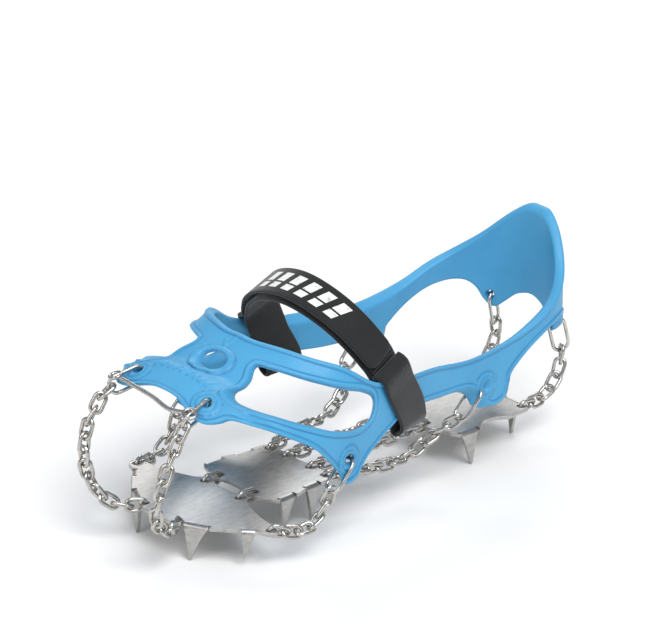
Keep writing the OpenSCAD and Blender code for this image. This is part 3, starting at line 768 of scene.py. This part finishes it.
def spike_outline(a, b, tip, length):
    """The flat pattern of one point with its two relief cuts, as outline points, and its bend."""
    a, b, tip = vec(*a), vec(*b), vec(*tip)
    along = unit(b - a)
    out = vec(-along[1], along[0])
    wide = np.linalg.norm(b - a)
    lean = (tip - a) @ along
    flat_tip = -BEND_START + ARC + length + PLATE_T - BEND_START
    low = -BEND_START + ARC * 0.75

    def at(u, v):
        return a + along * u + out * v

    cut, deep = 1.0, -BEND_START - 0.1
    pts = [at(-cut, 0), at(-cut, deep), at(0, deep), at(0, low)]
    steps = 7
    for k in range(1, steps):
        t = k / steps
        pts.append(at((lean - 0.45) * t ** 0.78, low + (flat_tip - low) * t))
    pts += [at(lean - 0.45, flat_tip - 0.3), at(lean, flat_tip), at(lean + 0.45, flat_tip - 0.3)]
    for k in range(steps - 1, 0, -1):
        t = k / steps
        pts.append(at(wide + (lean + 0.45 - wide) * t ** 0.78, low + (flat_tip - low) * t))
    pts += [at(wide, low), at(wide, deep), at(wide + cut, deep), at(wide + cut, 0)]
    return pts, (a, along, out, wide)


def plate_half(parts):
    """Joins plain corners and points into one half outline; corners are rounded by a spline."""
    outline, bends, run = [], [], []

    def flush():
        if len(run) > 1:
            outline.extend(list(spline(run, 5)))
        else:
            outline.extend([vec(*p) for p in run])
        run.clear()

    for part in parts:
        if len(part) == 2:
            run.append(part)
        else:
            pts, bend = spike_outline(*part)
            run.append(tuple(pts[0]))
            flush()
            outline.extend(pts[1:-1])
            run.append(tuple(pts[-1]))
            bends.append(bend)
    flush()
    return outline, bends


def inset(loop, by):
    """The loop moved inward by the given amount; it runs counter-clockwise."""
    before, after = loop - np.roll(loop, 1, axis=0), np.roll(loop, -1, axis=0) - loop
    before /= np.maximum(np.linalg.norm(before, axis=1, keepdims=True), 1e-9)
    after /= np.maximum(np.linalg.norm(after, axis=1, keepdims=True), 1e-9)
    half = before + after
    half /= np.maximum(np.linalg.norm(half, axis=1, keepdims=True), 1e-9)
    inward = np.stack([-half[:, 1], half[:, 0]], axis=1)
    side = np.stack([-before[:, 1], before[:, 0]], axis=1)
    return loop + inward * by / np.clip((inward * side).sum(axis=1), 0.6, 1)[:, None]


def area(loop):
    """Signed area: positive when the loop runs counter-clockwise."""
    q = np.array(loop)
    return 0.5 * float(np.sum(q[:, 0] * np.roll(q[:, 1], -1) - np.roll(q[:, 0], -1) * q[:, 1]))


def flat_sheet(outline, holes, rim):
    """A sheet with a rounded rim round its outline and its holes, as a bmesh in millimetres."""
    loops = [np.array(outline)[::-1] if area(outline) < 0 else np.array(outline)]
    for x, y, reach, r in holes:
        for s in (1, -1):
            turn = -np.linspace(0, 2 * math.pi, 36, endpoint=False)
            loops.append(np.array([(x + reach * np.sign(round(math.cos(t), 6)) + r * math.cos(t),
                                    s * y + r * math.sin(t)) for t in turn]))
    inner = [inset(loop, rim) for loop in loops]
    bm = bmesh.new()
    rows = [(rim * (1 - math.sin(t)), PLATE_T / 2 - rim * (1 - math.cos(t)))
            for t in (0, math.pi / 6, math.pi / 3, math.pi / 2)]
    rows += [(off, -z) for off, z in rows[::-1]]
    first, last = [], []
    for loop, narrow in zip(loops, inner):
        rings = []
        for off, z in rows:
            ring = narrow + (loop - narrow) * (1 - off / rim)
            rings.append([bm.verts.new((q[0], q[1], z)) for q in ring])
        for above, below in zip(rings, rings[1:]):
            for k in range(len(above)):
                n = (k + 1) % len(above)
                bm.faces.new((above[k], below[k], below[n], above[n]))
        first += rings[0]
        last += rings[-1]
    flat = np.concatenate(inner)
    edges, start = [], 0
    for loop in inner:
        edges += [(start + k, start + (k + 1) % len(loop)) for k in range(len(loop))]
        start += len(loop)
    found, _, faces, source, _, _ = delaunay_2d_cdt([Vector(q) for q in flat], edges, [], 0, 1e-5)
    for face in faces:
        middle = np.mean([np.array(found[k]) for k in face], axis=0)
        if not within(middle[None, :], inner)[0]:
            continue
        index = [source[k][0] for k in face if len(source[k])]
        if len(set(index)) == 3:
            bm.faces.new([first[k] for k in index])
            bm.faces.new([last[k] for k in index[::-1]])
    return bm


def plate(name, parts, holes, body, node):
    """A stamped plate: flat pattern with rounded edges, then each point bent down."""
    half, bends = plate_half(parts)
    outline = half + [p * vec(1, -1) for p in half[-2:0:-1]]
    bm = flat_sheet(outline, holes, PLATE_RIM)
    flip = vec(1, -1)
    all_bends = []
    for a, along, out, wide in bends:
        all_bends += [(a, along, out, wide), (a * flip, along * flip, out * flip, wide)]
    for a, along, out, wide in all_bends:
        for k in range(0, 9):
            v = -BEND_START + ARC * k / 8
            at = a + out * v
            bmesh.ops.bisect_plane(bm, geom=bm.verts[:] + bm.edges[:] + bm.faces[:], dist=1e-5,
                                   plane_co=(at[0], at[1], 0), plane_no=(out[0], out[1], 0))
    for a, along, out, wide in all_bends:
        for vert in bm.verts:
            p = vec(vert.co.x, vert.co.y)
            u, v = (p - a) @ along, (p - a) @ out
            if -0.15 <= u <= wide + 0.15 and v > -BEND_START + 1e-6 and v < 25:
                s = v + BEND_START
                h = vert.co.z
                if s < ARC:
                    turn = s / BEND_MID
                    forward = (BEND_MID + h) * math.sin(turn)
                    z = (BEND_MID + h) * math.cos(turn) - BEND_MID
                else:
                    forward = BEND_MID + h
                    z = -BEND_MID - (s - ARC)
                q = a + along * u + out * (-BEND_START + forward)
                vert.co = (q[0], q[1], z)
    bmesh.ops.translate(bm, vec=(0, 0, -PLATE_T / 2), verts=bm.verts)
    bmesh.ops.triangulate(bm, faces=bm.faces)
    verts = np.array([tuple(v.co) for v in bm.verts])
    bm.verts.index_update()
    faces = [[v.index for v in f.verts] for f in bm.faces]
    bm.free()
    piece = make_piece(name, verts, faces, PLATE, body, [node])
    piece.data.set_sharp_from_angle(angle=math.radians(50))
    even = piece.modifiers.new("even normals", "WEIGHTED_NORMAL")
    even.weight, even.keep_sharp = 90, True
    return piece


def plates():
    eye = 1.9
    plate("toe_point_plate", [
        (66, 0), (65.6, 6), (64, 9.6), (63.7, 14), (65.6, 17.4), (68.4, 20.4), (73, 32), (75.4, 42),
        (75.6, 48.6), (77.2, 53), (80.4, 54.4), (83.8, 52.6), (85.6, 49),
        ((87, 46.4), (92, 41.4), (90.6, 42.8), 14),
        (94.6, 38), (97.8, 34.4), (101.4, 30.6),
        ((102.8, 28.4), (108.6, 16.6), (106.8, 20.3), 18),
        (110.6, 14.2), (112, 11.6), (112.8, 6), (113, 0)],
        [(107.5, 12.4, 0, eye), (68, 13, 0, eye), (80.2, 50.3, 0.8, eye)], "toe_plate", "toe_plate")
    plate("ball_point_plate", [
        (13, 0), (12.6, 4), (11.3, 6.6), (11, 10.6), (12.4, 14.2), (11.5, 18.4), (11.8, 22.6), (14.4, 25.2),
        (18.4, 25.9),
        ((24, 26.4), (33, 26.8), (28, 26.6), 18),
        (36.6, 27.4), (39.6, 28.3),
        ((43, 28.5), (52.5, 28.5), (49.5, 28.5), 18),
        (55.4, 26.8), (57.6, 21.8), (60, 16.6), (60.4, 12), (59, 8), (58.2, 4), (58, 0)],
        [(56, 13, 0, eye), (15.35, 9, 0, eye), (15.8, 20.8, 0, eye)], "ball_plate", "ball_plate")
    plate("heel_point_plate", [
        (-126.5, 0), (-127.4, 6), (-128.6, 9.6),
        ((-129, 12.5), (-129, 21), (-129, 17), 18),
        (-128.9, 26), (-126.4, 29.6), (-122.4, 30.2), (-117, 30.2), (-112, 31), (-107, 28.6), (-102, 26.4),
        (-96, 26), (-91.6, 28.6),
        ((-87, 31), (-75, 31), (-83.5, 31), 18),
        (-71.6, 27), (-69.6, 20), (-66.9, 13.6), (-66.6, 8), (-68.4, 4), (-69, 0)],
        [(-70.95, 9, 0, eye), (-124.5, 25.6, 0, eye)], "heel_plate", "heel_plate")


# ---------------------------------------------------------------- strap
STRAP_W, STRAP_T, PATCH_T, LAYER_GAP = 22, 2.0, 0.9, 0.45
INSIDE, OUTSIDE = 1.5, GAP + THICK + 0.7 + STRAP_T / 2
# Each station: a point of the middle line, and the X and Z parts of the direction across the strap.
OVER = [((-0.5, 48.7, 63), 0.91, -0.38), ((2.5, 47.6, 67.5), 0.88, -0.44), ((6, 44.6, 74), 0.87, -0.47),
        ((11, 38, 83), 0.87, -0.48), ((15, 27.5, 91), 0.87, -0.48), ((18, 14, 96.6), 0.87, -0.48),
        ((19, 0, 98.6), 0.87, -0.48)]


def laid(rows):
    return [(on_boot(p, off)[0], x, z) for p, off, x, z in rows]


NEAR_INSIDE = laid([((-2.5, 50, 59), INSIDE, 0.94, -0.34), ((-6, 51, 52), INSIDE, 0.96, -0.28),
                    ((-11, 51, 44), INSIDE, 0.98, -0.18), ((-14.5, 51, 37.5), INSIDE, 0.99, -0.12)])
NEAR_TURN = laid([((-16, 50, 31.5), INSIDE + 0.3, 0.99, -0.1), ((-16.4, 50, 29.2), 3, 0.99, -0.1),
                  ((-16.6, 50, 28.3), 5.3, 0.99, -0.1), ((-16.4, 50, 29.2), 7.6, 0.99, -0.1),
                  ((-16, 50, 31.5), OUTSIDE - 0.2, 0.99, -0.1)])
NEAR_OUTSIDE = laid([((-14.5, 51, 37.5), OUTSIDE, 0.99, -0.12), ((-11, 51, 44), OUTSIDE, 0.98, -0.18),
                     ((-6, 51, 52), OUTSIDE, 0.96, -0.28), ((-1.2, 50, 61.4), OUTSIDE + 0.6, 0.94, -0.32)])


def far(rows):
    return [(mirror(p, -1), x, z) for p, x, z in rows]


def lifted(rows, off):
    """Moves stations off the boot, square to the line they make."""
    pts = [vec(*p) for p, _, _ in rows]
    out = []
    for i, (p, x, z) in enumerate(rows):
        n = unit(np.cross(vec(x, 0, z), pts[min(len(pts) - 1, i + 1)] - pts[max(0, i - 1)]))
        out.append((pts[i] + n * (-off if n[2] < 0 else off), x, z))
    return out


def strap_frames(rows, steps):
    line = spline([p for p, _, _ in rows], steps)
    tilt = spline([vec(x, 0.188 * x * p[1] / 48, z) for p, x, z in rows], steps)
    ahead = unit(np.gradient(line, axis=0))
    w = unit(unit(tilt) - ahead * np.sum(unit(tilt) * ahead, 1, keepdims=True))
    return line, w, np.cross(w, ahead), ahead


def add_ribbon(shape, rows, steps, wide, thick, rounded_end=0, ridges=0.0, soft=0.0):
    """A band with soft rounded edges; u and v of its surface are millimetres along and across."""
    line, w, n, _ = strap_frames(rows, steps)
    s = run_lengths(line)
    edge = min(thick / 2, 0.95)
    arc = np.linspace(-math.pi / 2, math.pi / 2, 7)
    rings, uv = [], []
    for i in range(len(line)):
        left = s[-1] - s[i]
        half = wide / 2
        if rounded_end and left < rounded_end:
            half = wide / 2 - rounded_end + math.sqrt(max(0.04, rounded_end ** 2 - (rounded_end - left) ** 2))
        flat = np.linspace(-(half - edge), half - edge, 15)
        t = thick / 2 * (1 - 0.35 * max(0, 1 - left / 1.2) if rounded_end else 1)
        wobble = soft * math.sin(s[i] * 0.9 + 1.3) * 0.5
        top = [(v, t + ridges * math.sin(s[i] * 3.2) - 0.10 * near(abs(v), half - 2.2, 0.25, 0.35))
               for v in flat]
        right = [(half - edge + edge * math.cos(q), t * math.sin(-q)) for q in arc[1:-1]]
        bottom = [(v, -t) for v in flat[::-1]]
        left_side = [(-(half - edge) - edge * math.cos(q), t * math.sin(q)) for q in arc[1:-1]]
        ring = top + right + bottom + left_side
        rings.append([line[i] + w[i] * (a + wobble * 0.1) + n[i] * b for a, b in ring])
        uv += [(s[i], a) for a, b in ring]
    rings = np.array(rings)
    shape.sweep(rings, closed=False, uv=uv)
    return line, w, n, s


def add_stitches(shape, a, b, out, pitch=2.3, length=1.5, radius=0.24):
    """A row of thread stitches from a to b, standing a little out of the surface."""
    count = max(2, int(np.linalg.norm(b - a) / pitch))
    ahead = unit(b - a)
    for k in range(count):
        mid = a + (b - a) * (k + 0.5) / count
        line = [mid + ahead * length * t + out * (0.10 - 0.5 * abs(t) ** 2 * 1.4)
                for t in np.linspace(-0.5, 0.5, 7)]
        shape.tube(line, radius, 8, tip=0.35)


def strap():
    seam = lifted([((1.4, 48.2, 66.4), 0.9, -0.4), OVER[1]], -1.2)[0]
    under = lifted(OVER, -(STRAP_T + PATCH_T + 2 * LAYER_GAP))[1:]
    under = under + far(under[-2::-1])
    hinge_low = laid([((-15.7, 50.3, 33.4), OUTSIDE, 0.99, -0.12)])
    hinge_high = laid([((-14.5, 51, 37.5), OUTSIDE, 0.99, -0.12)])
    rows = [seam] + NEAR_OUTSIDE[::-1] + NEAR_TURN[::-1] + NEAR_INSIDE[::-1] + under \
        + far(NEAR_INSIDE) + far(NEAR_TURN) + far(hinge_low)
    shape = Shape()
    line, w, n, _ = add_ribbon(shape, rows, 8, STRAP_W, STRAP_T)
    shape.piece("strap_band", STRAP, "harness", "webbing", ["strap"], uv=True)
    threads = Shape()
    for k in (10, 14):
        out = n[k] if n[k][1] > 0 else -n[k]
        at = line[k] + out * STRAP_T / 2
        add_stitches(threads, at - w[k] * 9.0, at + w[k] * 9.0, out)
    threads.piece("strap_stitching", THREAD, "harness", "webbing")

    near_end = [((3.6, 46.7, 69.8), 0.88, -0.45)] + OVER[2:]
    rows = far(hinge_high) + far(NEAR_OUTSIDE[1:]) + far([(vec(*p), x, z) for p, x, z in OVER[1:]]) \
        + [(vec(*p), x, z) for p, x, z in near_end[-2::-1]]
    shape = Shape()
    line, w, n, s = add_ribbon(shape, rows, 10, STRAP_W - 3, STRAP_T, rounded_end=5)
    shape.piece("strap_flap_top", FLAP, "strap_flap", "webbing", ["strap_flap"], uv=True)
    shape = Shape()
    rows = lifted(OVER[1:6], -(STRAP_T / 2 + PATCH_T / 2 + LAYER_GAP))
    add_ribbon(shape, rows, 60, STRAP_W - 4, PATCH_T, ridges=0.16)
    shape.piece("hook_pad", HOOK, "harness", "hook", ["hook_patch"], uv=True)


# ---------------------------------------------------------------- build
harness()
rings_and_chains()
toe_bail()
plates()
strap()

# ---------------------------------------------------------------- floor, light and camera


def stage():
    m = Nodes("studio floor")
    cloud = m.noise(m.place(), 3.0, 2.0)
    m.finish(Base_Color=m.mix(cloud, (0.86, 0.86, 0.86, 1), (0.90, 0.90, 0.90, 1)), Roughness=0.9)
    mesh = bpy.data.meshes.new("floor")
    r, z = 12, -0.0202
    mesh.from_pydata([(-r, -r, z), (r, -r, z), (r, r, z), (-r, r, z)], [], [(0, 1, 2, 3)])
    mesh.materials.append(m.material)
    floor = bpy.data.objects.new("floor", mesh)
    bpy.context.scene.collection.objects.link(floor)


def area_light(name, place, target, size, watts, tint=(1, 1, 1)):
    light = bpy.data.lights.new(name, "AREA")
    light.shape = "RECTANGLE"
    light.size, light.size_y = size
    light.energy = watts
    light.color = tint
    lamp = bpy.data.objects.new(name, light)
    lamp.location = place
    lamp.rotation_mode = "QUATERNION"
    lamp.rotation_quaternion = (Vector(target) - Vector(place)).to_track_quat("-Z", "Y")
    bpy.context.scene.collection.objects.link(lamp)
    return lamp


def lights():
    world = bpy.data.worlds.new("studio")
    bpy.context.scene.world = world
    world.use_nodes = True
    world.node_tree.nodes["Background"].inputs["Color"].default_value = (0.97, 0.98, 1.0, 1)
    world.node_tree.nodes["Background"].inputs["Strength"].default_value = 0.42
    sun = bpy.data.lights.new("key", "SUN")
    sun.energy, sun.angle = 2.3, math.radians(38)
    lamp = bpy.data.objects.new("key", sun)
    lamp.rotation_mode = "QUATERNION"
    lamp.rotation_quaternion = Vector((-0.15, -0.62, -1.0)).to_track_quat("-Z", "Y")
    bpy.context.scene.collection.objects.link(lamp)
    centre = (0, 0, 0.03)
    area_light("side", (1.3, 0.1, 0.8), centre, (0.5, 0.9), 5)
    area_light("rim", (-1.0, -1.0, 1.1), centre, (0.8, 0.5), 6)


def camera():
    """The camera stands high off the toe, a little to the wearer's left."""
    az, el, roll = map(math.radians, (45.41, 23.0, 2.28))
    back = vec(math.cos(el) * math.cos(az), math.cos(el) * math.sin(az), math.sin(el))
    right = vec(-math.sin(az), math.cos(az), 0)
    up = np.cross(back, right)
    right, up = right * math.cos(roll) + up * math.sin(roll), up * math.cos(roll) - right * math.sin(roll)
    place = (vec(0, 0, 30) + back * 2014 + right * 3.47 + up * 45.27) * MM
    data = bpy.data.cameras.new("camera")
    data.lens, data.sensor_width = 215.7, 36
    data.clip_start, data.clip_end = 0.1, 50
    cam = bpy.data.objects.new("camera", data)
    cam.matrix_world = Matrix([[right[i], up[i], back[i], place[i]] for i in range(3)] + [[0, 0, 0, 1]])
    bpy.context.scene.collection.objects.link(cam)
    bpy.context.scene.camera = cam


stage()
lights()
camera()
bpy.context.scene.view_settings.view_transform = "Standard"
